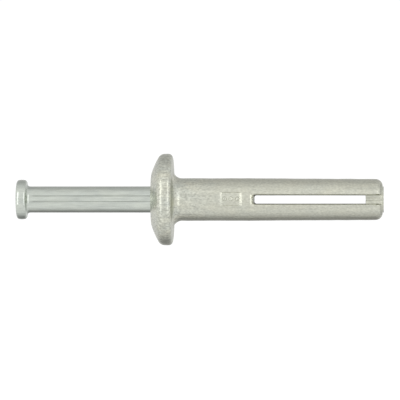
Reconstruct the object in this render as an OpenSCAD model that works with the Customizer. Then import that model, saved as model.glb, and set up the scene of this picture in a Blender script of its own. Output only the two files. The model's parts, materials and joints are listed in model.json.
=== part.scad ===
// Hammer-drive wall anchor: a cast sleeve with a mushroom head and two spreading legs, and a drive pin.
// Millimetres. The axis runs along X from the head to the tip, and the origin is the middle of the
// head's flat underside, which seats on the fixture. The slot is cut through along Y.

/* [Sleeve] */
// Outside diameter of the sleeve, which is the size of the hole it goes in
sleeve_d = 6.35; // [5.8:0.05:8]
// Length of the sleeve under the head
sleeve_len = 31.75; // [27:0.05:40]
// Length under the head that has no casting draft
straight_len = 11; // [6:0.5:12]
// Outside diameter that the draft leaves at the tip
tip_d = 6.12; // [5.6:0.02:6.3]
// Rounding of the tip's edge
tip_round = 1.1; // [0.4:0.1:1.4]
// Diameter of the low round boss on the tip, which closes the slot there
boss_d = 3.9; // [3:0.05:4.2]
// Height of that boss
boss_h = 0.12; // [0.1:0.01:0.5]
// Fillet between the sleeve and the head's underside
neck_fillet = 1.45; // [0.3:0.05:1.8]

/* [Mushroom head] */
// Diameter of the head
head_d = 13.75; // [11:0.05:17]
// Height of the head from its underside to the flat on top
head_h = 3.2; // [2.5:0.05:4.2]
// Height at which the dome meets the upright rim
rim_h = 1.83; // [1.2:0.01:2.1]
// Diameter of the flat on top, which the pin's head lands on
land_d = 7.9; // [6.4:0.1:8.4]
// Rounding between the rim and the dome
rim_round = 1.05; // [0.1:0.05:1.2]
// Rounding between the rim and the underside
seat_round = 0.65; // [0.1:0.05:0.8]

/* [Slot] */
// Distance from the head's underside to the slot's end at the surface of the sleeve
slot_start = 12.15; // [10:0.05:15]
// How much further from the head the slot's end wall is where it opens into the bore
slot_end_draft = 0.12; // [0:0.01:0.6]
// Width of the slot at the surface of the sleeve
slot_w = 1.4; // [1.3:0.02:1.7]
// Width of the slot where it opens into the bore
slot_bore_w = 1.24; // [1:0.02:1.3]
// Length of the thin web that ties the two legs at the tip
web_len = 2.7; // [1.5:0.05:3.5]
// Thickness of that web
web_t = 3.6; // [1:0.1:3.8]

/* [Drive pin] */
// Diameter of the pin
pin_d = 3.96; // [3.3:0.02:4.8]
// Length of the pin under its head
pin_len = 31.85; // [27:0.05:34]
// Length of pin that stands out of the sleeve before it is driven
pin_out = 18.85; // [10:0.05:22.4]
// Diameter of the pin's head
pin_head_d = 5.98; // [5.4:0.02:7.2]
// Thickness of the pin's head
pin_head_h = 1.53; // [1.2:0.01:2]
// Rounding of the struck edge of the pin's head
pin_head_round = 0.3; // [0.1:0.05:0.5]
// Rounding of the lower edge of the pin's head
pin_rim_round = 0.3; // [0.05:0.05:0.4]
// Fillet under the pin's head
pin_fillet = 0.5; // [0.2:0.05:0.6]
// Length of the pin's blunt point
point_len = 1.2; // [0.6:0.1:2]
// Diameter of the flat end of the point
point_d = 2.6; // [1.6:0.1:3]

/* [Spreading legs] */
// Angle that each leg swings out by when the pin is fully driven
spread_angle = 2; // [1:0.1:2.4]

/* [Fits] */
// Radial clearance between the pin and the bore of the sleeve
bore_clear = 0.05; // [0.02:0.01:0.1]
// Radial clearance between the driven pin and the bore of the legs
leg_clear = 0.15; // [0.14:0.01:0.2]
// Clearance round the root of each leg, where the real casting bends
root_gap = 0.04; // [0.02:0.01:0.06]
// Gap between the two halves of the web at rest
web_gap = 0.05; // [0.02:0.01:0.1]
// Clearance between the mouth of the bore and the pin's fillet
mouth_clear = 0.06; // [0.04:0.01:0.1]
// Space left beyond the tip of the driven pin
tip_clear = 0.35; // [0.3:0.05:1]

/* [Hidden] */
$fn = 96;

// Overshoot of a cut past the surface that it opens
past = 1;

sleeve_r = sleeve_d / 2;
head_r = head_d / 2;
pin_r = pin_d / 2;
bore_r = pin_r + bore_clear;
leg_bore_r = pin_r + leg_clear;
mouth = pin_fillet + mouth_clear;

// The dome is the arc, centred on the axis, that passes through the edge of the land and the top of the rim
dome_centre = (pow(head_r, 2) + pow(rim_h, 2) - pow(land_d / 2, 2) - pow(head_h, 2)) / (2 * (head_h - rim_h));
dome_r = norm([land_d / 2, head_h + dome_centre]);

// Centre of the rounding that touches both the rim and the dome
rim_centre = [head_r - rim_round,
              dome_centre - sqrt(pow(dome_r - rim_round, 2) - pow(head_r - rim_round, 2))];
from_dome = (rim_centre - [0, dome_centre]) / norm(rim_centre - [0, dome_centre]);
dome_touch = [0, dome_centre] + dome_r * from_dome;

web_start = sleeve_len - web_len;
leg_end = sleeve_len - boss_h;
pin_seat = -head_h - pin_out;
bore_end = pin_len - head_h + tip_clear;

// Each leg swings about an axis in the middle of its wall, and its root is a knuckle round that axis
hinge_z = (slot_bore_w / 2 + sleeve_r) / 2;
knuckle_r = sleeve_r - hinge_z + root_gap + web_gap;
slot_wall = (slot_w + slot_bore_w) / 4;
hinge_x = slot_start + sqrt(pow(knuckle_r, 2) - pow(hinge_z - slot_wall, 2));

// Stands a shape that was turned about Z along the X axis
module along_x() {
    rotate([0, 90, 0]) children();
}

// What a rounding cuts from the corner between two touching points
module corner_waste(centre, radius, touches) {
    difference() {
        polygon([centre, touches[0], touches[0] + (touches[1] - centre), touches[1]]);
        translate(centre) circle(r = radius);
    }
}

// Half outline of the mushroom head, with its radius along X and the anchor's axis along Y
module head_outline() {
    difference() {
        intersection() {
            translate([0, -head_h]) square([head_r, head_h]);
            translate([0, dome_centre]) circle(r = dome_r, $fn = 4 * $fn);
        }
        corner_waste(rim_centre, rim_round, [[head_r, rim_centre[1]], dome_touch]);
        corner_waste([head_r - seat_round, -seat_round], seat_round,
                     [[head_r, -seat_round], [head_r - seat_round, 0]]);
    }
}

// Half outline of the sleeve: straight, then drafted down to a rounded tip with its boss
module sleeve_outline() {
    tip_centre = [tip_d / 2 - tip_round, leg_end - tip_round];
    difference() {
        polygon([[0, -rim_h / 2], [sleeve_r, -rim_h / 2], [sleeve_r, straight_len],
                 [tip_d / 2, tip_centre[1]], [tip_d / 2, leg_end], [0, leg_end]]);
        corner_waste(tip_centre, tip_round, [[tip_d / 2, tip_centre[1]], [tip_centre[0], leg_end]]);
    }
    square([boss_d / 2, sleeve_len]);
}

// Half outline of the fillet that runs out from the sleeve to the head
module neck_outline() {
    difference() {
        translate([sleeve_r, 0]) square(neck_fillet);
        translate([sleeve_r + neck_fillet, neck_fillet]) circle(r = neck_fillet);
    }
}

// The whole slot, which narrows from each side to the bore, with the web and the boss left standing in it
module slot() {
    slot_end = slot_start + slot_end_draft;
    difference() {
        intersection() {
            along_x() linear_extrude(height = sleeve_len + past)
                polygon([for (side = [1, -1]) for (y = [-sleeve_r, -bore_r, bore_r, sleeve_r] * side)
                         [-side * (abs(y) == bore_r ? slot_bore_w : slot_w) / 2, y]]);
            translate([0, 0, -slot_w]) linear_extrude(height = 2 * slot_w)
                polygon([[slot_start, -sleeve_r], [slot_end, -bore_r], [slot_end, bore_r], [slot_start, sleeve_r],
                         [sleeve_len + past, sleeve_r], [sleeve_len + past, -sleeve_r]]);
        }
        translate([web_start, -web_t / 2, -slot_w]) cube([web_len, web_t, 2 * slot_w]);
        translate([leg_end, 0, 0]) along_x() cylinder(d = boss_d, h = boss_h);
    }
}

// Everything that belongs to the upper leg beyond its knuckle, grown by a clearance
module leg_space(clearance) {
    translate([0, sleeve_r + past, 0]) rotate([90, 0, 0]) linear_extrude(height = 2 * (sleeve_r + past)) {
        translate([hinge_x, hinge_z]) circle(r = knuckle_r + clearance);
        translate([hinge_x, web_gap / 2 - clearance])
            square([sleeve_len - hinge_x + past, sleeve_r + past]);
    }
}

// The bore that the driven pin fills, swung in with its leg to where it is at rest
module leg_bore() {
    translate([hinge_x, 0, hinge_z]) rotate([0, spread_angle, 0]) translate([-hinge_x, 0, -hinge_z])
        along_x() cylinder(r = leg_bore_r, h = bore_end);
}

// The mushroom head and the part of the sleeve that isn't slotted
module anchor_body() {
    color([0.77, 0.78, 0.74]) difference() {
        along_x() rotate_extrude() {
            head_outline();
            neck_outline();
            sleeve_outline();
        }
        along_x() translate([0, 0, -head_h - past]) cylinder(r = bore_r, h = sleeve_len + head_h);
        along_x() translate([0, 0, -head_h])
            cylinder(r1 = bore_r + mouth, r2 = bore_r, h = mouth);
        slot();
        leg_space(root_gap);
        mirror([0, 0, 1]) leg_space(root_gap);
    }
}

// One leg of the sleeve, with its half of the web
module leg() {
    color([0.74, 0.75, 0.7]) difference() {
        intersection() {
            along_x() rotate_extrude() sleeve_outline();
            leg_space(0);
        }
        slot();
        leg_bore();
    }
}

module upper_leg() {
    leg();
}

module lower_leg() {
    mirror([0, 0, 1]) leg();
}

// Half outline of the pin, from its struck face to its blunt point
module pin_outline() {
    head_pin_r = pin_head_d / 2;
    difference() {
        union() {
            translate([0, -pin_head_h]) square([head_pin_r, pin_head_h]);
            square([pin_r + pin_fillet, pin_fillet]);
            polygon([[0, 0], [pin_r, 0], [pin_r, pin_len - point_len],
                     [point_d / 2, pin_len], [0, pin_len]]);
        }
        translate([pin_r + pin_fillet, pin_fillet]) circle(r = pin_fillet);
        corner_waste([head_pin_r - pin_head_round, pin_head_round - pin_head_h], pin_head_round,
                     [[head_pin_r, pin_head_round - pin_head_h], [head_pin_r - pin_head_round, -pin_head_h]]);
        corner_waste([head_pin_r - pin_rim_round, -pin_rim_round], pin_rim_round,
                     [[head_pin_r, -pin_rim_round], [head_pin_r - pin_rim_round, 0]]);
    }
}

module drive_pin() {
    color([0.79, 0.8, 0.77])
        along_x() translate([0, 0, pin_seat]) rotate_extrude() pin_outline();
}

anchor_body();
upper_leg();
lower_leg();
drive_pin();
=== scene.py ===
"""Looks of a hammer-drive wall anchor: a cast zinc sleeve with a mushroom head and two legs, and its pin.

The axis runs along X, from the pin's head to the slotted tip, and X = 0 is the flat underside of the
mushroom head. The slot is cut through along Y, so one leg lies above it and the other below. Lengths are
in metres.
"""
import json
import math

import bmesh
import bpy
import numpy as np
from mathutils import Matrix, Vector, noise


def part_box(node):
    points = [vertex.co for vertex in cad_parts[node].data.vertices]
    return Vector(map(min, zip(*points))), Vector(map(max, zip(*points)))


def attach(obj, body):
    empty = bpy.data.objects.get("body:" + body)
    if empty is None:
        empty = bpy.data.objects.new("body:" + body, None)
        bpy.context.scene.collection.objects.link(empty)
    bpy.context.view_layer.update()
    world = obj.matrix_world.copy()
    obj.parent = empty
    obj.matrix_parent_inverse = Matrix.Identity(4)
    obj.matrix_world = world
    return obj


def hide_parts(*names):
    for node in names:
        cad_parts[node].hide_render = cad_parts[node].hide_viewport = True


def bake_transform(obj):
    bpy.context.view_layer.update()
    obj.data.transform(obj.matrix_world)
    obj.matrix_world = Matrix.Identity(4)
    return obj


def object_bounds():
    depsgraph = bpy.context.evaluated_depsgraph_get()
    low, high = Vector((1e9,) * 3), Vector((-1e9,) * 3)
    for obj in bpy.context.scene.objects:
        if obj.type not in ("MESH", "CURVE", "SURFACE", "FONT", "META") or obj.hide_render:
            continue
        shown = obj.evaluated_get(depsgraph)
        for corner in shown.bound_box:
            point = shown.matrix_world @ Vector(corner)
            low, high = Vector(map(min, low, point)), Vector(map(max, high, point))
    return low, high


bl_info = {
    "name": "Hammer-Drive Wall Anchor",
    "version": (1, 0, 0),
    "blender": (4, 5, 0),
    "location": "View3D > Sidebar > Wall Anchor",
    "description": "Builds the cast sleeve, its legs, the drive pin and a small studio round a packed frame",
    "category": "Object",
}

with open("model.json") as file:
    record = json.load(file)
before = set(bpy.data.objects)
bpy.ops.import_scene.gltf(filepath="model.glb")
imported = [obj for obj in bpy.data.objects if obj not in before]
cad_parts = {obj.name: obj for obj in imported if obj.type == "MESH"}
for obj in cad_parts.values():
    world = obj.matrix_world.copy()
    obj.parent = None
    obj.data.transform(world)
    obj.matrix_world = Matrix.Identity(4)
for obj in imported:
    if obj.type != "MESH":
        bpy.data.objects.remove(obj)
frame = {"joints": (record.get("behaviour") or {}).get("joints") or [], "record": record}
CAD_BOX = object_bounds()

MM = 0.001
BODY_LOW, BODY_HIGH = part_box("anchor_body")
_, LEG_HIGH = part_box("upper_leg")
PIN_LOW, PIN_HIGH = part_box("drive_pin")
JOINTS = {joint["name"]: joint for joint in frame["joints"]}
SLEEVE = next(mount["dims"] for mount in frame["record"]["mounts"] if mount["name"] == "sleeve")
HINGE = Vector(JOINTS["upper_leg_spread"]["pos_m"])
SPREAD = math.radians(JOINTS["upper_leg_spread"]["range_deg"][1])

# Points closer than this are one point, and edges shorter than the second length are dissolved
SAME_POINT = 1e-9
NO_LENGTH = 1e-8
# How close the ends of a turned piece have to be to be joined
JOIN = 0.0005 * MM


# --------------------------------------------------------------------------------------------------
# Settings
# --------------------------------------------------------------------------------------------------


def size(label, about, default):
    """A length that the user can change, in metres."""
    return bpy.props.FloatProperty(
        name=label,
        description=about,
        default=default,
        min=0.0,
        precision=5,
        subtype="DISTANCE",
        unit="LENGTH",
    )


def colour(label, about, default):
    """A colour that the user can change."""
    return bpy.props.FloatVectorProperty(
        name=label, description=about, default=default, size=3, min=0.0, max=1.0, subtype="COLOR"
    )


class CastingSettings(bpy.types.PropertyGroup):
    """Sizes of the zinc casting"""

    sleeve_radius: size("Sleeve radius", "Outside radius of the plain sleeve", SLEEVE["r_mm"] * MM)
    straight_length: size("Straight length", "Length under the head with no casting draft", 11 * MM)
    tip_radius: size("Tip radius", "Outside radius that the draft leaves at the tip", 3.06 * MM)
    tip_round: size("Tip rounding", "Rounding of the tip's edge", 1.1 * MM)
    boss_radius: size("Boss radius", "Radius of the low round boss on the tip", 1.95 * MM)
    boss_height: size("Boss height", "Height of the low round boss on the tip", 0.12 * MM)
    neck_fillet: size("Neck fillet", "Fillet between the sleeve and the head", 1.45 * MM)
    head_radius: size("Head radius", "Radius of the mushroom head", BODY_HIGH.z)
    head_height: size("Head height", "Height of the head above its underside", -BODY_LOW.x)
    rim_height: size("Rim height", "Height at which the dome meets the rim", 1.83 * MM)
    rim_round: size("Rim rounding", "Rounding between the rim and the dome", 1.05 * MM)
    seat_round: size("Seat rounding", "Rounding between the rim and the underside", 0.65 * MM)
    land_radius: size("Land radius", "Radius of the flat that the pin's head lands on", 3.95 * MM)
    bore_radius: size("Bore radius", "Radius of the bore in the sleeve", 2.03 * MM)
    mouth: size("Bore chamfer", "Chamfer at the mouth of the bore", 0.56 * MM)
    leg_bore_radius: size("Leg bore radius", "Radius of the bore between the legs", 2.13 * MM)
    bore_end: size("Bore end", "Where the bore stops, from the underside of the head", 29.0 * MM)
    seam: size("Leg seam", "Where the leg pieces start, just before the slot", 11.5 * MM)
    slot_start: size("Slot start", "Where the slot starts at the surface of the sleeve", 12.15 * MM)
    slot_end_draft: size("Slot end draft", "How far the slot's end wall slopes down to the bore", 0.12 * MM)
    slot_corner: size("Slot corner", "Rounding of the corners of the slot's end", 0.3 * MM)
    slot_half: size("Slot half width", "Half the slot's width at the surface", 0.7 * MM)
    slot_bore_half: size("Slot half width at bore", "Half the slot's width at the bore", 0.62 * MM)
    slot_edge: size("Slot edge", "Rounding of the slot's edges", 0.18 * MM)
    dish_length: size("Dish length", "Length over which the surface sinks before the slot", 0.36 * MM)
    dish_depth: size("Dish depth", "How far it sinks there, and along the slot's edges", 0.12 * MM)
    web_length: size("Web length", "Length of the web that ties the legs at the tip", 2.7 * MM)
    web_half: size("Web half thickness", "Half the thickness of that web", 1.8 * MM)
    groove_at: size("Tip groove", "Where the groove round each leg's tip lies", 31.36 * MM)
    groove_width: size("Tip groove width", "Width of that groove", 0.24 * MM)
    groove_depth: size("Tip groove depth", "Depth of that groove", 0.08 * MM)
    ridge_height: size("Parting ridge height", "Height of the fine ridge along the parting line", 0.035 * MM)
    ridge_width: size("Parting ridge width", "Width of the fine ridge along the parting line", 0.1 * MM)


class PinSettings(bpy.types.PropertyGroup):
    """Sizes of the drive pin"""

    radius: size("Pin radius", "Radius of the pin's shank", 1.98 * MM)
    head_radius: size("Head radius", "Radius of the pin's head", PIN_HIGH.z)
    head_height: size("Head height", "Thickness of the pin's head", 1.53 * MM)
    head_round: size("Struck edge", "Rounding of the struck edge of the head", 0.3 * MM)
    rim_round: size("Lower edge", "Rounding of the lower edge of the head", 0.3 * MM)
    crown: size("Crown", "How much the head's rim falls away towards its two edges", 0.12 * MM)
    fillet: size("Fillet", "Fillet under the head", 0.5 * MM)
    point_length: size("Point length", "Length of the blunt point", 1.2 * MM)
    point_radius: size("Point radius", "Radius of the flat end of the point", 1.3 * MM)
    upper_line: size("Upper line", "Height of the upper drawing line over the middle", 0.57 * MM)
    lower_line: size("Lower line", "Depth of the lower drawing line under the middle", 0.33 * MM)
    line_width: size("Line width", "Width of each fine drawing line", 0.16 * MM)
    line_depth: size("Line depth", "Depth of each fine drawing line", 0.08 * MM)


class MarkSettings(bpy.types.PropertyGroup):
    """Sizes of the plain cavity mark on the sleeve"""

    centre: size("Mark centre", "Middle of the mark, from the underside of the head", 8.85 * MM)
    half_length: size("Half length", "Half the length of the sunk panel", 1.5 * MM)
    half_height: size("Half height", "Half the height of the sunk panel", 1.0 * MM)
    depth: size("Depth", "Depth of the sunk panel", 0.13 * MM)
    lift: size("Lift", "How far the mark's middle lies above the sleeve's axis", 0.1 * MM)
    pip_radius: size("Pip radius", "Radius of each round pip", 0.34 * MM)
    pip_height: size("Pip height", "Height of each round pip", 0.22 * MM)
    pip_spacing: size("Pip spacing", "Distance between the pips", 0.95 * MM)
    pips: bpy.props.IntProperty(name="Pips", description="Number of round pips", default=3, min=1, max=5)


class ColourSettings(bpy.types.PropertyGroup):
    """Colours of the finishes and the studio"""

    cast: colour("Cast zinc", "Main tone of the zinc casting", (0.610, 0.610, 0.515))
    cast_patch: colour("Cast zinc patches", "Tone of the casting's faint patches", (0.535, 0.555, 0.500))
    plated: colour("Plated steel", "Tone of the plated pin", (0.60, 0.635, 0.575))
    plated_patch: colour("Plated steel patches", "Tone of the pin's faint patches", (0.535, 0.57, 0.53))
    floor: colour("Floor", "Tone of the studio floor", (0.8, 0.8, 0.8))


SETTINGS = {
    "anchor_casting": CastingSettings,
    "anchor_pin": PinSettings,
    "anchor_mark": MarkSettings,
    "anchor_colours": ColourSettings,
}


# --------------------------------------------------------------------------------------------------
# Outlines and meshes
# --------------------------------------------------------------------------------------------------


def arc(centre, radius, start, end, steps):
    """Points along an arc, from one angle to another in degrees."""
    angles = np.radians(np.linspace(start, end, steps + 1))
    return [(centre[0] + radius * math.cos(a), centre[1] + radius * math.sin(a)) for a in angles]


def divided(points, step_at):
    """The outline with extra points, so that no gap is wider than step_at says for its place."""
    result = [points[0]]
    for (x0, r0), (x1, r1) in zip(points, points[1:]):
        gap = math.hypot(x1 - x0, r1 - r0)
        if gap < SAME_POINT:
            continue
        count = max(1, math.ceil(gap / step_at((x0 + x1) / 2, (r0 + r1) / 2)))
        result += [(x0 + (x1 - x0) * k / count, r0 + (r1 - r0) * k / count) for k in range(1, count + 1)]
    return result


def outline_object(name, points):
    """A chain of vertices that holds a half outline: X along the axis, Z the radius."""
    mesh = bpy.data.meshes.new(name)
    mesh.from_pydata([(x, 0.0, r) for x, r in points], [(i, i + 1) for i in range(len(points) - 1)], [])
    obj = bpy.data.objects.new(name, mesh)
    bpy.context.scene.collection.objects.link(obj)
    return obj


def new_tree(name, sizes):
    """A geometry tree with its input and output nodes, and one named input for each of the sizes."""
    tree = bpy.data.node_groups.new(name, "GeometryNodeTree")
    tree.interface.new_socket(name="Geometry", in_out="INPUT", socket_type="NodeSocketGeometry")
    tree.interface.new_socket(name="Geometry", in_out="OUTPUT", socket_type="NodeSocketGeometry")
    for label, kind in sizes:
        tree.interface.new_socket(name=label, in_out="INPUT", socket_type=kind)
    return tree, tree.nodes.new("NodeGroupInput"), tree.nodes.new("NodeGroupOutput")


def maths(tree, operation, first, second=None):
    """A maths node on sockets or plain numbers, and its result."""
    node = tree.nodes.new("ShaderNodeMath")
    node.operation = operation
    for socket, value in zip(node.inputs, (first, second)):
        if isinstance(value, (int, float)):
            socket.default_value = value
        elif value is not None:
            tree.links.new(value, socket)
    return node.outputs[0]


def turning_tree():
    """Turns an outline about the X axis: a grid of outline points by segments, wrapped round and closed."""
    tree, given, result = new_tree(
        "Turned Piece", [("Segments", "NodeSocketInt"), ("Material", "NodeSocketMaterial")]
    )
    node, link = tree.nodes.new, tree.links.new
    points = node("GeometryNodeAttributeDomainSize")
    points.component = "MESH"
    link(given.outputs["Geometry"], points.inputs["Geometry"])
    columns = maths(tree, "ADD", given.outputs["Segments"], 1)
    grid = node("GeometryNodeMeshGrid")
    link(points.outputs["Point Count"], grid.inputs["Vertices X"])
    link(columns, grid.inputs["Vertices Y"])
    index = node("GeometryNodeInputIndex").outputs[0]
    along = maths(tree, "FLOOR", maths(tree, "DIVIDE", maths(tree, "ADD", index, 0.5), columns))
    around = maths(tree, "SUBTRACT", index, maths(tree, "MULTIPLY", along, columns))
    turn = maths(tree, "DIVIDE", maths(tree, "MULTIPLY", around, 2 * math.pi), given.outputs["Segments"])
    sample = node("GeometryNodeSampleIndex")
    sample.data_type = "FLOAT_VECTOR"
    link(given.outputs["Geometry"], sample.inputs["Geometry"])
    link(node("GeometryNodeInputPosition").outputs[0], sample.inputs["Value"])
    link(along, sample.inputs["Index"])
    split = node("ShaderNodeSeparateXYZ")
    link(sample.outputs[0], split.inputs[0])
    place = node("ShaderNodeCombineXYZ")
    link(split.outputs["X"], place.inputs["X"])
    link(maths(tree, "MULTIPLY", split.outputs["Z"], maths(tree, "SINE", turn)), place.inputs["Y"])
    link(maths(tree, "MULTIPLY", split.outputs["Z"], maths(tree, "COSINE", turn)), place.inputs["Z"])
    wrap = node("GeometryNodeSetPosition")
    link(grid.outputs["Mesh"], wrap.inputs["Geometry"])
    link(place.outputs[0], wrap.inputs["Position"])
    close = node("GeometryNodeMergeByDistance")
    close.inputs["Distance"].default_value = JOIN
    link(wrap.outputs[0], close.inputs["Geometry"])
    finish_tree(tree, given, close.outputs[0], result)
    return tree


# How finely each pip is divided
PIP_SEGMENTS, PIP_RINGS = 24, 12


def pip_tree():
    """Sets low round pips in a row along X."""
    tree, given, result = new_tree(
        "Row Of Pips",
        [
            ("Pips", "NodeSocketInt"),
            ("Spacing", "NodeSocketFloat"),
            ("Radius", "NodeSocketFloat"),
            ("Height", "NodeSocketFloat"),
            ("Centre", "NodeSocketVector"),
            ("Material", "NodeSocketMaterial"),
        ],
    )
    node, link = tree.nodes.new, tree.links.new
    row = node("GeometryNodeMeshLine")
    row.mode = "OFFSET"
    link(given.outputs["Pips"], row.inputs["Count"])
    offset = node("ShaderNodeCombineXYZ")
    link(given.outputs["Spacing"], offset.inputs["X"])
    link(offset.outputs[0], row.inputs["Offset"])
    gaps = maths(tree, "SUBTRACT", given.outputs["Pips"], 1)
    back = node("ShaderNodeCombineXYZ")
    row_length = maths(tree, "MULTIPLY", gaps, given.outputs["Spacing"])
    link(maths(tree, "MULTIPLY", row_length, -0.5), back.inputs["X"])
    start = node("ShaderNodeVectorMath")
    link(back.outputs[0], start.inputs[0])
    link(given.outputs["Centre"], start.inputs[1])
    link(start.outputs[0], row.inputs["Start Location"])
    pip = node("GeometryNodeMeshUVSphere")
    pip.inputs["Segments"].default_value = PIP_SEGMENTS
    pip.inputs["Rings"].default_value = PIP_RINGS
    pip.inputs["Radius"].default_value = 1.0
    shape = node("ShaderNodeCombineXYZ")
    for axis, label in (("X", "Radius"), ("Y", "Height"), ("Z", "Radius")):
        link(given.outputs[label], shape.inputs[axis])
    place = node("GeometryNodeInstanceOnPoints")
    link(row.outputs[0], place.inputs["Points"])
    link(pip.outputs["Mesh"], place.inputs["Instance"])
    link(shape.outputs[0], place.inputs["Scale"])
    finish_tree(tree, given, place.outputs[0], result)
    return tree


def finish_tree(tree, given, geometry, result):
    """Ends a tree: real geometry, smooth faces and the material that its input names."""
    link = tree.links.new
    real = tree.nodes.new("GeometryNodeRealizeInstances")
    smooth = tree.nodes.new("GeometryNodeSetShadeSmooth")
    paint = tree.nodes.new("GeometryNodeSetMaterial")
    link(geometry, real.inputs[0])
    link(real.outputs[0], smooth.inputs[0])
    link(smooth.outputs[0], paint.inputs[0])
    link(given.outputs["Material"], paint.inputs["Material"])
    link(paint.outputs[0], result.inputs[0])


def grown(obj, tree, **values):
    """Runs a tree on an object with these inputs, and leaves the result in it as a plain mesh."""
    modifier = obj.modifiers.new(tree.name, "NODES")
    modifier.node_group = tree
    for item in tree.interface.items_tree:
        if item.item_type == "SOCKET" and item.in_out == "INPUT" and item.name.lower() in values:
            modifier[item.identifier] = values[item.name.lower()]
    mesh = bpy.data.meshes.new_from_object(obj.evaluated_get(bpy.context.evaluated_depsgraph_get()))
    obj.modifiers.clear()
    obj.data = mesh
    mesh.name = obj.name
    return obj


def skinned(name, rings, material):
    """A closed piece through rings of points, with a flat face on each end."""
    count, around = rings.shape[:2]
    faces = [tuple(reversed(range(around))), tuple(range((count - 1) * around, count * around))]
    steps = [(j, (j + 1) % around) for j in range(around)]
    for i in range(count - 1):
        low, high = i * around, (i + 1) * around
        faces += [(low + j, low + k, high + k, high + j) for j, k in steps]
    mesh = bpy.data.meshes.new(name)
    mesh.from_pydata(rings.reshape(-1, 3).tolist(), [], faces)
    mesh.materials.append(material)
    obj = bpy.data.objects.new(name, mesh)
    bpy.context.scene.collection.objects.link(obj)
    return obj


def outward(obj):
    """Drops faces with no area, and turns the skin right side out if it is inside out."""
    work = bmesh.new()
    work.from_mesh(obj.data)
    bmesh.ops.dissolve_degenerate(work, dist=NO_LENGTH, edges=work.edges)
    if work.calc_volume(signed=True) < 0:
        bmesh.ops.reverse_faces(work, faces=work.faces)
    work.to_mesh(obj.data)
    work.free()


def smoothed(obj, angle=35):
    """Shades the piece smoothly, apart from edges sharper than this angle in degrees."""
    obj.data.polygons.foreach_set("use_smooth", [True] * len(obj.data.polygons))
    obj.data.set_sharp_from_angle(angle=math.radians(angle))
    obj.data.update()


def points_of(obj):
    """The places and the normals of a piece's vertices, as two arrays."""
    vertices = obj.data.vertices
    places, normals = np.zeros(len(vertices) * 3), np.zeros(len(vertices) * 3)
    vertices.foreach_get("co", places)
    vertices.foreach_get("normal", normals)
    return places.reshape(-1, 3), normals.reshape(-1, 3)


def push(obj, places, normals, heights):
    """Moves each vertex along its normal."""
    obj.data.vertices.foreach_set("co", (places + normals * heights[:, None]).ravel())
    obj.data.update()


def lumps(places, scale, seed):
    """A soft random height from -1 to 1 at each place, with features of about this size."""
    shift = Vector((seed, seed * 2.0, seed * 3.0))
    return np.array([noise.noise(Vector(p) / scale + shift) for p in places])


def step_up(value, start, end):
    """0 below start, 1 above end, and a smooth rise between them."""
    t = np.clip((value - start) / (end - start), 0, 1)
    return t * t * (3 - 2 * t)


# Where the cast skin ends: just outside the bore, at the flat land, and where a face looks along the axis
SKIN_OVER_BORE = 0.3 * MM
LAND_MARGIN = 0.01 * MM
END_FACE = 0.99
# The parting ridge: its mean share of its height, how far that wavers, and over lumps how long
RIDGE_SHARE, RIDGE_WAVER, RIDGE_LUMP, RIDGE_SEED = 0.75, 0.5, 1.6 * MM, 3
# It lies only where the skin leans less than this towards either side
RIDGE_FACING = 0.5
# The unevenness of the casting: (height, lump size, seed)
UNEVEN = ((0.012 * MM, 2.2 * MM, 5), (0.004 * MM, 0.5 * MM, 7))
# Half the width over which the sunk panel's edge slopes
PANEL_EDGE = 0.035 * MM
# Heights between which the dish, and then the tip groove, fade out
DISH_FADE = (0.6 * MM, 0.9 * MM)
GROOVE_FADE = (2.2 * MM, 2.7 * MM)


def as_cast(obj, casting, mark):
    """Gives a casting its parting ridge, unevenness, sunk panel, soft slot edges and tip groove, with
    painted shade in the groove.
    """
    places, normals = points_of(obj)
    x, y, z = places.T
    outside = np.hypot(y, z) > casting.leg_bore_radius + SKIN_OVER_BORE
    on_land = x < BODY_LOW.x + LAND_MARGIN
    skin = outside & (normals @ np.array([1.0, 0, 0]) < END_FACE) & ~on_land
    waver = lumps(places * [1, 0, 0], RIDGE_LUMP, RIDGE_SEED)
    flash = casting.ridge_height * (RIDGE_SHARE + RIDGE_WAVER * waver)
    faces_up = np.abs(normals[:, 1]) < RIDGE_FACING
    height = np.where(faces_up, flash * np.exp(-((y / casting.ridge_width) ** 2)), 0)
    height += sum(depth * lumps(places, lump, seed) for depth, lump, seed in UNEVEN)

    across, up = np.abs(x - mark.centre), np.abs(z - mark.lift)
    panel = (1 - step_up(across, mark.half_length - PANEL_EDGE, mark.half_length + PANEL_EDGE)) * (
        1 - step_up(up, mark.half_height - PANEL_EDGE, mark.half_height + PANEL_EDGE)
    )
    height -= np.where(y < 0, mark.depth * panel, 0)

    dish_end = casting.slot_start - casting.slot_edge / 2
    along_dish = np.clip((x - dish_end) / casting.dish_length + 1, 0, 1)
    height -= casting.dish_depth * along_dish * (1 - step_up(np.abs(z), *DISH_FADE))

    groove = np.exp(-(((x - casting.groove_at) / (casting.groove_width / 2)) ** 2))
    groove *= skin * (1 - step_up(np.abs(z), *GROOVE_FADE))
    height -= casting.groove_depth * groove
    # Painted shade: the groove is also darkened in the colour through this attribute, standing in for the
    # shade in it
    obj.data.attributes.new("painted_groove_shade", "FLOAT", "POINT").data.foreach_set("value", groove)

    # On the sleeve each point moves straight out from the axis, so the two legs still meet edge to edge
    on_sleeve = skin & (x > casting.neck_fillet) & (x < LEG_HIGH.x - casting.boss_height - casting.tip_round)
    straight_out = places * [0, 1, 1] / np.maximum(np.hypot(y, z), MM)[:, None]
    push(obj, places, np.where(on_sleeve[:, None], straight_out, normals), np.where(skin, height, 0))


# --------------------------------------------------------------------------------------------------
# Materials
# --------------------------------------------------------------------------------------------------


GRAIN_INPUTS = ("Patch Size", "Grain Size", "Grain Stretch", "Streak Size")
# The middle range of a noise texture, which is spread from 0 to 1
NOISE_LOW, NOISE_HIGH = 0.3, 0.7
# Factors on X that pull the patches and streaks out along the anchor, and the detail of each noise
PATCH_STRETCH, STREAK_STRETCH = 0.4, 0.04
GRAIN_DETAIL, STREAK_DETAIL = 3.0, 2.0
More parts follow.
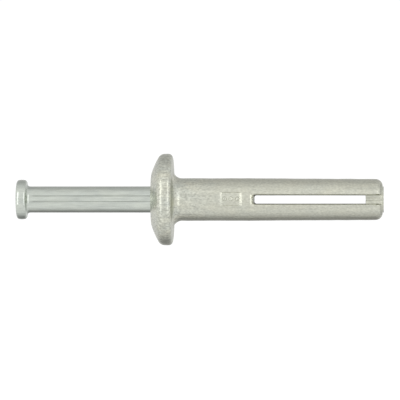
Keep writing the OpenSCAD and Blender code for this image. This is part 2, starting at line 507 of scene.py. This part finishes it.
# The share of patches, grain and streaks on the head and far down the sleeve, and where that is reached
HEAD_SHARE, SLEEVE_SHARE, SHARE_SETTLES = 1.0, 0.5, 7 * MM
# What the colour is multiplied by where the painted shade in a groove is full
PAINTED_GROOVE_SHADE = 0.72
# Where the gloss changes from the dome's to that of the rest
GLOSS_START, GLOSS_END = -2.2 * MM, -0.6 * MM
# How much the roughness varies with the patches
ROUGH_LOW, ROUGH_HIGH = 0.85, 1.15
# How much of the streaks shows in the relief, next to the grain
STREAK_RELIEF = 0.5


def metal_grain():
    """Shader group: soft patches, a fine grain and long faint streaks along X, each from 0 to 1."""
    tree = bpy.data.node_groups.new("Metal Grain", "ShaderNodeTree")
    for label in GRAIN_INPUTS:
        tree.interface.new_socket(name=label, in_out="INPUT", socket_type="NodeSocketFloat")
    for label in ("Patch", "Grain", "Streak"):
        tree.interface.new_socket(name=label, in_out="OUTPUT", socket_type="NodeSocketFloat")
    given, result = tree.nodes.new("NodeGroupInput"), tree.nodes.new("NodeGroupOutput")
    link = tree.links.new
    place = tree.nodes.new("ShaderNodeTexCoord").outputs["Object"]

    def clouds(label, size_socket, stretch, detail):
        """Noise of this size, pulled out along X, with its middle range spread from 0 to 1."""
        factors = tree.nodes.new("ShaderNodeCombineXYZ")
        for axis in "YZ":
            factors.inputs[axis].default_value = 1.0
        if isinstance(stretch, float):
            factors.inputs["X"].default_value = stretch
        else:
            link(stretch, factors.inputs["X"])
        pulled = tree.nodes.new("ShaderNodeVectorMath")
        pulled.operation = "MULTIPLY"
        link(place, pulled.inputs[0])
        link(factors.outputs[0], pulled.inputs[1])
        texture = tree.nodes.new("ShaderNodeTexNoise")
        texture.inputs["Detail"].default_value = detail
        link(pulled.outputs[0], texture.inputs["Vector"])
        link(maths(tree, "DIVIDE", 1.0, size_socket), texture.inputs["Scale"])
        spread = tree.nodes.new("ShaderNodeMapRange")
        spread.inputs["From Min"].default_value = NOISE_LOW
        spread.inputs["From Max"].default_value = NOISE_HIGH
        link(texture.outputs["Fac"], spread.inputs["Value"])
        link(spread.outputs[0], result.inputs[label])

    clouds("Patch", given.outputs["Patch Size"], PATCH_STRETCH, GRAIN_DETAIL)
    clouds("Grain", given.outputs["Grain Size"], given.outputs["Grain Stretch"], GRAIN_DETAIL)
    clouds("Streak", given.outputs["Streak Size"], STREAK_STRETCH, STREAK_DETAIL)
    return tree


def mixed(tree, blend, factor, first, second):
    """A colour mix node, and its result: each of the last three is a socket or a plain value."""
    node = tree.nodes.new("ShaderNodeMix")
    node.data_type = "RGBA"
    node.blend_type = blend
    for label, value in (("Factor", factor), ("A", first), ("B", second)):
        socket = next(item for item in node.inputs if item.name == label and item.enabled)
        if isinstance(value, bpy.types.NodeSocket):
            tree.links.new(value, socket)
        else:
            socket.default_value = value
    return next(item for item in node.outputs if item.enabled)


def ranged(tree, value, low, high, start=0.0, end=1.0):
    """A map range node on a socket, and its result."""
    node = tree.nodes.new("ShaderNodeMapRange")
    for label, number in (("From Min", start), ("From Max", end), ("To Min", low), ("To Max", high)):
        node.inputs[label].default_value = number
    tree.links.new(value, node.inputs["Value"])
    return node.outputs[0]


def metal(name, tones, sizes, contrast, gloss, relief):
    """A metal finish: patches of tone, grain and streaks in the colour, painted shade in grooves, uneven
    gloss and a fine relief.

    Contrast is that of the grain and of the streaks, and gloss the roughness of the dome and of the rest.
    """
    material = bpy.data.materials.new(name)
    material.use_nodes = True
    tree = material.node_tree
    link = tree.links.new
    shader = tree.nodes["Principled BSDF"]
    shader.inputs["Metallic"].default_value = 1.0
    grain = tree.nodes.new("ShaderNodeGroup")
    grain.node_tree = bpy.data.node_groups.get("Metal Grain") or metal_grain()
    for label, value in sizes.items():
        grain.inputs[label].default_value = value
    patch, fine, streak = (grain.outputs[label] for label in ("Patch", "Grain", "Streak"))
    along = tree.nodes.new("ShaderNodeSeparateXYZ")
    link(tree.nodes.new("ShaderNodeTexCoord").outputs["Object"], along.inputs[0])
    share = ranged(tree, along.outputs["X"], HEAD_SHARE, SLEEVE_SHARE, 0.0, SHARE_SETTLES)
    tone = mixed(tree, "MIX", maths(tree, "MULTIPLY", patch, share), (*tones[0], 1), (*tones[1], 1))
    for mask, amount in ((fine, contrast[0]), (streak, contrast[1])):
        tone = mixed(tree, "MULTIPLY", share, tone, ranged(tree, mask, 1 - amount, 1 + amount))
    # Painted shade: the colour is darkened where a groove is marked, in the legs' tip groove and the pin's
    # drawing lines
    groove_shade_attribute = tree.nodes.new("ShaderNodeAttribute")
    groove_shade_attribute.attribute_name = "painted_groove_shade"
    tone = mixed(tree, "MULTIPLY", 1.0, tone, ranged(tree, groove_shade_attribute.outputs["Fac"], 1.0, PAINTED_GROOVE_SHADE))
    link(tone, shader.inputs["Base Color"])
    head_gloss, body_gloss = gloss
    smooth = ranged(tree, along.outputs["X"], head_gloss, body_gloss, GLOSS_START, GLOSS_END)
    uneven = ranged(tree, patch, ROUGH_LOW, ROUGH_HIGH)
    link(maths(tree, "MULTIPLY", smooth, uneven), shader.inputs["Roughness"])
    bump = tree.nodes.new("ShaderNodeBump")
    bump.inputs["Strength"].default_value = 1.0
    bump.inputs["Distance"].default_value = relief
    link(maths(tree, "ADD", fine, maths(tree, "MULTIPLY", streak, STREAK_RELIEF)), bump.inputs["Height"])
    link(bump.outputs[0], shader.inputs["Normal"])
    return material


def cast_zinc():
    """As-cast zinc alloy: satin, slightly olive, with a fine grain, and glossier on the dome."""
    tones = bpy.context.scene.anchor_colours
    sizes = dict(zip(GRAIN_INPUTS, (1.3 * MM, 0.22 * MM, 0.6, 0.3 * MM)))
    return bpy.data.materials.get("as_cast_zinc") or metal(
        "as_cast_zinc",
        (tones.cast, tones.cast_patch),
        sizes,
        contrast=(0.28, 0.12),
        gloss=(0.26, 0.34),
        relief=0.012 * MM,
    )


def plated_steel():
    """Drawn steel with thin bright zinc plating: cooler, and faintly streaked along the pin."""
    tones = bpy.context.scene.anchor_colours
    sizes = dict(zip(GRAIN_INPUTS, (1.2 * MM, 0.25 * MM, 0.15, 0.25 * MM)))
    return bpy.data.materials.get("bright_plated_steel") or metal(
        "bright_plated_steel",
        (tones.plated, tones.plated_patch),
        sizes,
        contrast=(0.07, 0.07),
        gloss=(0.18, 0.18),
        relief=0.004 * MM,
    )


# --------------------------------------------------------------------------------------------------
# Pieces
# --------------------------------------------------------------------------------------------------


# Steps in each arc of the head: the neck's fillet, the lower edge, the upper edge and the dome
NECK_STEPS, SEAT_STEPS, RIM_STEPS, DOME_STEPS = 18, 8, 6, 30
# Widest gap along the outline in the bore, on the skin and by the mark, and how far the first and last reach
BORE_GAP, SKIN_GAP, MARK_GAP = 1.5 * MM, 0.22 * MM, 0.07 * MM
PAST_BORE, PAST_MARK = 0.1 * MM, 0.3 * MM
HEAD_SEGMENTS = 400


class ANCHOR_OT_head_and_sleeve(bpy.types.Operator):
    """Turn the mushroom head and the plain length of the sleeve, with its bore"""

    bl_idname = "anchor.head_and_sleeve"
    bl_label = "Head And Sleeve"

    def outline(self, c):
        """Half outline: up the sleeve, round the head, and down the bore."""
        top, rim = -c.head_height, -c.rim_height
        dome_x = (c.head_radius**2 + rim**2 - c.land_radius**2 - top**2) / (2 * (rim - top))
        dome_r = math.hypot(c.land_radius, top - dome_x)
        rim_r = c.head_radius - c.rim_round
        rim_x = dome_x - math.sqrt((dome_r - c.rim_round) ** 2 - rim_r**2)
        touch = math.degrees(math.atan2(rim_r, rim_x - dome_x))
        land = math.degrees(math.atan2(c.land_radius, top - dome_x))
        seat_r = c.head_radius - c.seat_round
        return [
            (c.seam, c.sleeve_radius),
            *arc((c.neck_fillet, c.sleeve_radius + c.neck_fillet), c.neck_fillet, 270, 180, NECK_STEPS),
            *arc((-c.seat_round, seat_r), c.seat_round, 0, 90, SEAT_STEPS),
            *arc((rim_x, rim_r), c.rim_round, 90, touch, RIM_STEPS),
            *arc((dome_x, 0), dome_r, touch, land, DOME_STEPS),
            (top, c.bore_radius + c.mouth),
            (top + c.mouth, c.bore_radius),
            (c.seam, c.bore_radius),
            (c.seam, c.sleeve_radius),
        ]

    def execute(self, context):
        casting, mark = context.scene.anchor_casting, context.scene.anchor_mark

        def step(x, r):
            if r < casting.bore_radius + PAST_BORE:
                return BORE_GAP
            near_mark = abs(x - mark.centre) < mark.half_length + PAST_MARK
            return MARK_GAP if near_mark else SKIN_GAP

        outline = divided(self.outline(casting), step)
        piece = outline_object("head_and_sleeve", outline)
        grown(piece, turning_tree(), segments=HEAD_SEGMENTS, material=cast_zinc())
        outward(piece)
        as_cast(piece, casting, mark)
        smoothed(piece)
        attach(piece, "anchor_body")
        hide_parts("anchor_body")
        return {"FINISHED"}


# How many rings each stretch of a leg has: before the slot, the slot's corner, the bore, the web and the tip
SOLID_RINGS, CORNER_RINGS, BORE_RINGS, WEB_RINGS, TIP_RINGS = 8, 9, 60, 9, 30
# Angles round the tip's rounding, in degrees, between which its rings lie
TIP_FROM, TIP_TO = 4, 80
# Gaps between two rings: where a wall stands upright, at the foot of the boss, and past the slot's corner
WALL_GAP, BOSS_GAP, CORNER_GAP = 0.02 * MM, 0.002 * MM, 0.1 * MM
# The bevel of the boss's edge, along the sleeve and inwards
BOSS_BEVEL, BOSS_INWARDS = 0.05 * MM, 0.06 * MM
# Points over the outside of each ring, down the slot's wall, round the bore, and across the web
OVER_POINTS, WALL_POINTS, ARCH_POINTS, WEB_POINTS = 150, 6, 12, 9
# Angles of the rounding at the slot's edge, in degrees
EDGE_ANGLES = [22.5, 45, 67.5, 90]
# How far past the slot's start the bore has grown from its width in the sleeve to that in the legs
BORE_GROWS = 0.5 * MM
# Half the width of the step at the web's edge, and how far round the leg the slot's rounded edge is felt
WEB_EDGE, SHIFT_FADE = 0.03 * MM, 1 * MM
# Stretch past the slot's start over which the slope of its end wall dies out
SLOPE_FROM, SLOPE_TO = 1 * MM, 3 * MM
# Rounds it takes to find where the slot's wall meets the bore
MEETING_ROUNDS = 4


class ANCHOR_OT_legs(bpy.types.Operator):
    """Shape the two slotted legs, each with its half of the web, with the bore inside them sloping at the
    spread angle
    """

    bl_idname = "anchor.legs"
    bl_label = "Spreading Legs"

    def stations(self, c):
        """Where the rings go: (distance, kind), and kind is solid, end, bore, floor, web or boss."""
        web_start = LEG_HIGH.x - c.web_length
        corner = c.slot_start + c.slot_corner * (1 - np.cos(np.radians(np.linspace(0, 90, CORNER_RINGS))))
        bore = np.linspace(c.slot_start + c.slot_corner + CORNER_GAP, c.bore_end, BORE_RINGS)
        leg_end = LEG_HIGH.x - c.boss_height
        round_start = leg_end - c.tip_round
        web = np.linspace(web_start + WALL_GAP, round_start, WEB_RINGS)
        tip = round_start + c.tip_round * np.sin(np.radians(np.linspace(TIP_FROM, TIP_TO, TIP_RINGS)))
        return (
            [(s, "solid") for s in np.linspace(c.seam, c.slot_start - WALL_GAP, SOLID_RINGS)]
            + [(c.slot_start, "end")]
            + [(s, "bore") for s in corner]
            + [(s, "bore") for s in bore]
            + [(c.bore_end + WALL_GAP, "floor"), (web_start, "floor")]
            + [(s, "web") for s in web]
            + [(s, "web") for s in (*tip, leg_end)]
            + [(leg_end + BOSS_GAP, "boss"), (LEG_HIGH.x - BOSS_BEVEL, "boss"), (LEG_HIGH.x, "boss")]
        )

    def outer_radius(self, c, s):
        """Outside radius at a distance along the sleeve: straight, drafted, rounded off, then the boss."""
        leg_end = LEG_HIGH.x - c.boss_height
        round_start = leg_end - c.tip_round
        if s > round_start:
            rounded = c.tip_radius - c.tip_round + math.sqrt(max(c.tip_round**2 - (s - round_start) ** 2, 0))
            return max(rounded, c.boss_radius - (BOSS_INWARDS if s == LEG_HIGH.x else 0))
        drafted = max(0, s - c.straight_length) / (round_start - c.straight_length)
        return c.sleeve_radius + (c.tip_radius - c.sleeve_radius) * drafted

    def ring(self, c, s, kind):
        """One closed ring of the upper leg: over the outside from +Y to -Y, and back along its underside."""
        radius = self.outer_radius(c, s)
        turn = min(max(s - c.slot_start, 0) / c.slot_corner, 1)
        closed = kind in ("solid", "end", "boss")
        cos_wall = 0.0 if kind in ("solid", "boss") else 1 - turn
        sin_wall = 0.0 if closed else math.sqrt(1 - cos_wall**2)
        corner_rise = c.slot_corner * (1 - sin_wall)

        def depth_in(y):
            """0 at the surface of the sleeve, and 1 from the bore inwards."""
            return np.clip((c.sleeve_radius - np.abs(y)) / (c.sleeve_radius - c.bore_radius), 0, 1)

        def wall(y):
            """Height of the slot's wall at a place across the sleeve."""
            if closed:
                return np.zeros_like(y)
            return c.slot_half - (c.slot_half - c.slot_bore_half) * depth_in(y) - corner_rise

        edge_z = float(wall(np.array(radius))) + c.slot_edge * sin_wall
        edge_y = math.sqrt(radius**2 - edge_z**2)
        start = math.atan2(edge_z, edge_y)
        over = np.linspace(start, math.pi - start, OVER_POINTS)
        over_y, over_z = radius * np.cos(over), radius * np.sin(over)

        depth = c.slot_edge * (1 - np.cos(np.radians(EDGE_ANGLES)))
        flare = c.slot_edge - np.sqrt(np.maximum(c.slot_edge**2 - (c.slot_edge - depth) ** 2, 0))
        grow = step_up(s, c.seam, c.slot_start + BORE_GROWS)
        bore_r = c.bore_radius + (c.leg_bore_radius - c.bore_radius) * grow
        bore_z = -math.tan(SPREAD) * max(min(s, c.bore_end) - HINGE.x, 0)
        bore_y = bore_r
        for _ in range(MEETING_ROUNDS):
            bore_y = math.sqrt(bore_r**2 - (float(wall(np.array(bore_y))) - bore_z) ** 2)
        edge_angle = math.asin(bore_y / bore_r)
        web_angle = math.asin((c.web_half + WEB_EDGE) / bore_r)
        down_y = np.concatenate(
            [
                np.linspace(edge_y - c.slot_edge, bore_y, WALL_POINTS)[1:-1],
                bore_r * np.sin(np.linspace(edge_angle, web_angle, ARCH_POINTS)),
                np.linspace(c.web_half - WEB_EDGE, 0, WEB_POINTS),
            ]
        )
        in_bore = down_y <= bore_y + SAME_POINT
        down_z = wall(down_y)
        if kind in ("solid", "end", "bore"):
            arch = bore_z + np.sqrt(np.maximum(bore_r**2 - down_y**2, 0))
            down_z = np.where(in_bore, np.maximum(arch, down_z), down_z)
        if kind == "web":
            down_z = np.where(down_y < c.web_half, 0.0, down_z)
        half_y = np.concatenate([edge_y - depth, down_y])
        half_z = np.concatenate([wall(edge_y - depth) + flare * sin_wall, down_z])
        half_shift = np.concatenate([flare * cos_wall, np.zeros(len(down_y))])
        from_edge = np.minimum(over - start, math.pi - start - over) * radius
        over_shift = c.slot_edge * cos_wall * np.exp(-from_edge / SHIFT_FADE)

        y = np.concatenate([over_y, -half_y, half_y[-2::-1]])
        z = np.concatenate([over_z, half_z, half_z[-2::-1]])
        shift = np.concatenate([over_shift, half_shift, half_shift[-2::-1]])
        slope = c.slot_end_draft * step_up(s, c.seam, c.slot_start) * (
            1 - step_up(s, c.slot_start + SLOPE_FROM, c.slot_start + SLOPE_TO)
        )
        x = s + slope * depth_in(y) - shift
        return np.stack([x, y, z], axis=1)

    def execute(self, context):
        casting, mark = context.scene.anchor_casting, context.scene.anchor_mark
        rings = np.array([self.ring(casting, s, kind) for s, kind in self.stations(casting)])
        for name, body, side in (("leg_upper", "upper_leg", 1), ("leg_lower", "lower_leg", -1)):
            piece = skinned(name, rings * np.array([1, 1, side]), cast_zinc())
            outward(piece)
            as_cast(piece, casting, mark)
            smoothed(piece)
            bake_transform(piece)
            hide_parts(body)
        return {"FINISHED"}


# Steps in each arc of the pin: the struck edge, the lower edge and the fillet
STRUCK_STEPS, LOWER_STEPS, FILLET_STEPS = 8, 6, 8
# Widest gap along the outline, and on the head's rim, which starts at this share of the head's radius
PIN_GAP, HEAD_RIM_GAP, HEAD_RIM_SHARE = 0.3 * MM, 0.05 * MM, 0.9
PIN_SEGMENTS = 480
# Points beyond this share of the shank's radius are on its skin
SHANK_SHARE = 0.95
# The fine lines are looked for from this far before the fillet's end, and rise to their full depth over this
LINES_BEFORE, LINES_RISE = 0.2 * MM, 0.6 * MM
# The slight unevenness of the pin: its height, lump size and seed, and the factor that pulls it out along X
PIN_UNEVEN, PIN_LUMP, PIN_SEED, PIN_STRETCH = 0.006 * MM, 1.5 * MM, 11, 0.3


class ANCHOR_OT_drive_pin(bpy.types.Operator):
    """Turn the headed drive pin, and draw its two fine lines"""

    bl_idname = "anchor.drive_pin"
    bl_label = "Drive Pin"

    def outline(self, p):
        """Half outline, from the middle of the struck face to the middle of the point."""
        face, tip = PIN_LOW.x, PIN_HIGH.x
        seat = face + p.head_height
        return [
            (face, 0),
            *arc((face + p.head_round, p.head_radius - p.head_round), p.head_round, 180, 90, STRUCK_STEPS),
            *arc((seat - p.rim_round, p.head_radius - p.rim_round), p.rim_round, 90, 0, LOWER_STEPS),
            *arc((seat + p.fillet, p.radius + p.fillet), p.fillet, 180, 270, FILLET_STEPS),
            (tip - p.point_length, p.radius),
            (tip, p.point_radius),
            (tip, 0),
        ]

    def execute(self, context):
        pin = context.scene.anchor_pin
        middle, half = PIN_LOW.x + pin.head_height / 2, pin.head_height / 2

        def step(x, r):
            return PIN_GAP if r < HEAD_RIM_SHARE * pin.head_radius else HEAD_RIM_GAP

        outline = [
            (x, r - pin.crown * min(abs(x - middle) / half, 1) ** 2 if r > pin.radius + pin.fillet else r)
            for x, r in divided(self.outline(pin), step)
        ]
        piece = outline_object("pin", outline)
        grown(piece, turning_tree(), segments=PIN_SEGMENTS, material=plated_steel())
        outward(piece)
        places, normals = points_of(piece)
        x, y, z = places.T
        shank_start = PIN_LOW.x + pin.head_height + pin.fillet
        on_shank = (np.hypot(y, z) > SHANK_SHARE * pin.radius) & (x > shank_start - LINES_BEFORE)
        fade = step_up(x, shank_start, shank_start + LINES_RISE)
        half_line = pin.line_width / 2
        lines = sum(np.exp(-(((z - at) / half_line) ** 2)) for at in (pin.upper_line, -pin.lower_line))
        lines = np.where(on_shank, lines * fade, 0)
        # Painted shade: the two lines are also darkened in the colour, standing in for the shade in their
        # grooves
        piece.data.attributes.new("painted_groove_shade", "FLOAT", "POINT").data.foreach_set("value", lines)
        uneven = PIN_UNEVEN * lumps(places * [PIN_STRETCH, 1, 1], PIN_LUMP, PIN_SEED)
        push(piece, places, normals, uneven - pin.line_depth * lines)
        smoothed(piece)
        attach(piece, "drive_pin")
        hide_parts("drive_pin")
        return {"FINISHED"}


class ANCHOR_OT_cavity_mark(bpy.types.Operator):
    """Set a plain row of round pips in the sleeve's sunk panel"""

    bl_idname = "anchor.cavity_mark"
    bl_label = "Cavity Mark"

    def execute(self, context):
        casting, mark = context.scene.anchor_casting, context.scene.anchor_mark
        piece = outline_object("cavity_pips", [(0, 0), (mark.pip_radius, 0)])
        grown(
            piece,
            pip_tree(),
            pips=mark.pips,
            spacing=mark.pip_spacing,
            radius=mark.pip_radius,
            height=mark.pip_height,
            centre=(mark.centre, mark.depth - casting.sleeve_radius, mark.lift),
            material=cast_zinc(),
        )
        outward(piece)
        smoothed(piece)
        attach(piece, "anchor_body")
        return {"FINISHED"}


# --------------------------------------------------------------------------------------------------
# Studio
# --------------------------------------------------------------------------------------------------


# The floor: half its side, how far it is below the anchor, its roughness, and its glow to the camera alone
FLOOR_HALF, FLOOR_BELOW, FLOOR_ROUGHNESS, FLOOR_GLOW = 1.5, 26 * MM, 0.9, 0.6
# The light tent: how sharply it darkens to its far top and bottom, how much, and its level to the camera
TENT_BEND_OVER, TENT_BEND_MORE_UNDER = 2.0, 2.0
TENT_DARK_OVER, TENT_DARK_MORE_UNDER = 0.45, 0.27
TENT_TO_CAMERA = 1.05
# The two upright softboxes: places, width in metres, how many times as high as wide, and power in watts
SOFTBOXES = {"left softbox": (-0.50, -0.74, 0.1), "right softbox": (0.56, -0.74, 0.1)}
SOFTBOX_WIDTH, SOFTBOX_UPRIGHT, SOFTBOX_POWER = 0.3, 4, 1.35
# The camera: lens and sensor in millimetres, nearest and farthest view, aim, distance and turn in degrees
LENS, SENSOR = 300, 36
VIEW_FROM, VIEW_TO = 0.05, 10
CAMERA_AIM = (4.10 * MM, 0, -0.075 * MM)
CAMERA_DISTANCE = 502.8 * MM
CAMERA_TURN = 2.5


class ANCHOR_OT_stage(bpy.types.Operator):
    """Set up the pale floor, the soft studio light and the camera"""

    bl_idname = "anchor.stage"
    bl_label = "Studio"

    def floor(self, tone):
        """A wide pale floor, well under the anchor, that reads as white."""
        height = CAD_BOX[0].z - FLOOR_BELOW
        corners = [(x * FLOOR_HALF, y * FLOOR_HALF, height) for x, y in ((-1, -1), (1, -1), (1, 1), (-1, 1))]
        mesh = bpy.data.meshes.new("floor")
        mesh.from_pydata(corners, [], [(0, 1, 2, 3)])
        material = bpy.data.materials.new("floor")
        material.use_nodes = True
        tree = material.node_tree
        shader = tree.nodes["Principled BSDF"]
        shader.inputs["Base Color"].default_value = (*tone, 1)
        shader.inputs["Roughness"].default_value = FLOOR_ROUGHNESS
        shader.inputs["Emission Color"].default_value = (1, 1, 1, 1)
        seen = tree.nodes.new("ShaderNodeLightPath").outputs["Is Camera Ray"]
        tree.links.new(maths(tree, "MULTIPLY", seen, FLOOR_GLOW), shader.inputs["Emission Strength"])
        mesh.materials.append(material)
        obj = bpy.data.objects.new("floor", mesh)
        bpy.context.scene.collection.objects.link(obj)
        obj.visible_glossy = False

    def surroundings(self):
        """A light tent, darker above and below its far side, and white to the camera."""
        world = bpy.data.worlds.new("studio")
        world.use_nodes = True
        tree = world.node_tree
        link = tree.links.new
        shader = tree.nodes["Background"]
        direction = tree.nodes.new("ShaderNodeSeparateXYZ")
        link(tree.nodes.new("ShaderNodeTexCoord").outputs["Generated"], direction.inputs[0])
        height = maths(tree, "ABSOLUTE", direction.outputs["Z"])
        slant = maths(tree, "MULTIPLY", maths(tree, "ADD", direction.outputs["Y"], height), math.sqrt(0.5))
        under = maths(tree, "LESS_THAN", direction.outputs["Z"], 0.0)
        bend = maths(tree, "ADD", maths(tree, "MULTIPLY", under, TENT_BEND_MORE_UNDER), TENT_BEND_OVER)
        shade = maths(tree, "POWER", maths(tree, "MAXIMUM", slant, 0.0), bend)
        depth = maths(tree, "ADD", maths(tree, "MULTIPLY", under, TENT_DARK_MORE_UNDER), TENT_DARK_OVER)
        tent = maths(tree, "SUBTRACT", 1.0, maths(tree, "MULTIPLY", shade, depth))
        seen = tree.nodes.new("ShaderNodeLightPath").outputs["Is Camera Ray"]
        level = tree.nodes.new("ShaderNodeMix")
        link(seen, level.inputs["Factor"])
        link(tent, level.inputs["A"])
        level.inputs["B"].default_value = TENT_TO_CAMERA
        link(level.outputs["Result"], shader.inputs["Strength"])
        shader.inputs["Color"].default_value = (1, 1, 1, 1)
        bpy.context.scene.world = world

    def softbox(self, name, place):
        """An upright soft light that faces the anchor."""
        data = bpy.data.lights.new(name, "AREA")
        data.shape = "RECTANGLE"
        data.size, data.size_y = SOFTBOX_WIDTH, SOFTBOX_UPRIGHT * SOFTBOX_WIDTH
        data.energy = SOFTBOX_POWER
        lamp = bpy.data.objects.new(name, data)
        lamp.location = place
        lamp.rotation_euler = (-Vector(place)).to_track_quat("-Z", "Y").to_euler()
        lamp.visible_camera = False
        bpy.context.scene.collection.objects.link(lamp)

    def camera(self):
        """A long lens, level with the axis and turned a little towards the tip."""
        data = bpy.data.cameras.new("camera")
        data.lens, data.sensor_width = LENS, SENSOR
        data.clip_start, data.clip_end = VIEW_FROM, VIEW_TO
        lens = bpy.data.objects.new("camera", data)
        turn = math.radians(CAMERA_TURN)
        away = Vector((math.sin(turn), -math.cos(turn), 0))
        lens.location = Vector(CAMERA_AIM) + away * CAMERA_DISTANCE
        lens.rotation_euler = (-away).to_track_quat("-Z", "Y").to_euler()
        bpy.context.scene.collection.objects.link(lens)
        bpy.context.scene.camera = lens

    def execute(self, context):
        self.floor(context.scene.anchor_colours.floor)
        self.surroundings()
        for name, place in SOFTBOXES.items():
            self.softbox(name, place)
        self.camera()
        context.scene.view_settings.view_transform = "Standard"
        return {"FINISHED"}


# --------------------------------------------------------------------------------------------------
# Panel and registration
# --------------------------------------------------------------------------------------------------

OPERATORS = (
    ANCHOR_OT_stage,
    ANCHOR_OT_head_and_sleeve,
    ANCHOR_OT_cavity_mark,
    ANCHOR_OT_legs,
    ANCHOR_OT_drive_pin,
)


class ANCHOR_PT_panel(bpy.types.Panel):
    """Lists the anchor's steps and settings"""

    bl_idname = "ANCHOR_PT_panel"
    bl_label = "Wall Anchor"
    bl_space_type = "VIEW_3D"
    bl_region_type = "UI"
    bl_category = "Wall Anchor"

    def draw(self, context):
        for operator in OPERATORS:
            self.layout.operator(operator.bl_idname)
        for name, group in SETTINGS.items():
            box = self.layout.box()
            box.label(text=group.__doc__)
            for prop in group.__annotations__:
                box.prop(getattr(context.scene, name), prop)


CLASSES = (*SETTINGS.values(), *OPERATORS, ANCHOR_PT_panel)


def register():
    for item in CLASSES:
        bpy.utils.register_class(item)
    for name, group in SETTINGS.items():
        setattr(bpy.types.Scene, name, bpy.props.PointerProperty(type=group))


def unregister():
    for name in SETTINGS:
        delattr(bpy.types.Scene, name)
    for item in reversed(CLASSES):
        bpy.utils.unregister_class(item)


def main():
    register()
    bpy.ops.anchor.stage()
    bpy.ops.anchor.head_and_sleeve()
    bpy.ops.anchor.cavity_mark()
    bpy.ops.anchor.legs()
    bpy.ops.anchor.drive_pin()


if __name__ == "__main__":
    main()
